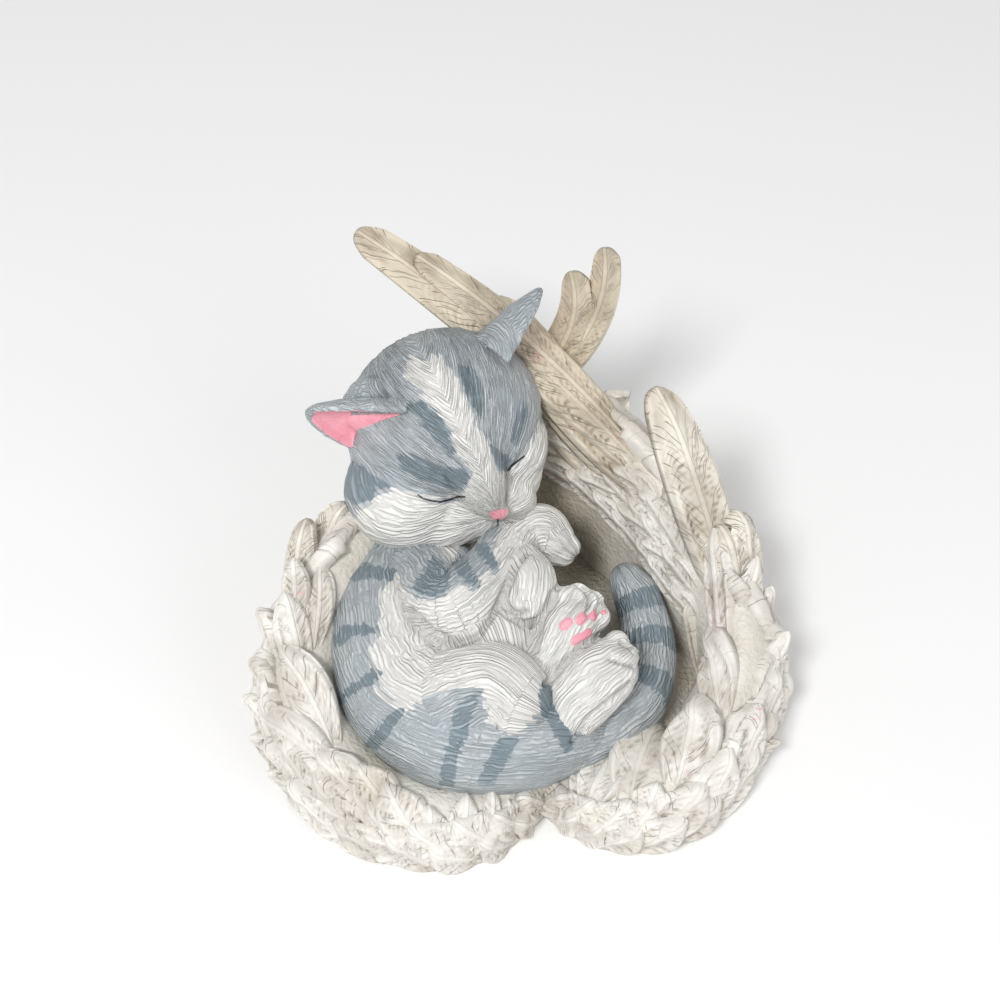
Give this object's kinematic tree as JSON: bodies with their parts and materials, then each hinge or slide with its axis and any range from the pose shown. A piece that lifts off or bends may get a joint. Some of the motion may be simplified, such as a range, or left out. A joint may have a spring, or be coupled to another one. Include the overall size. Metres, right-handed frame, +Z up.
{
  "type": "sleeping kitten figurine in a nest of wings",
  "caption": "Cast resin ornament: a tabby kitten curled asleep in a low heart-shaped nest of two folded feathered wings.",
  "frame": {"origin": "on the flat underside, below the middle of the nest", "axes": "+Z up, -Y to the notch between the wings at the front, +X to the viewer's right"},
  "size_m": [0.1158, 0.1133, 0.0804],
  "materials": {
    "painted_fur": "satin",
    "painted_resin": "satin"
  },
  "bodies": {
    "root": {"kitten": "painted_fur", "wing_nest": "painted_resin"}
  },
  "joints": []
}
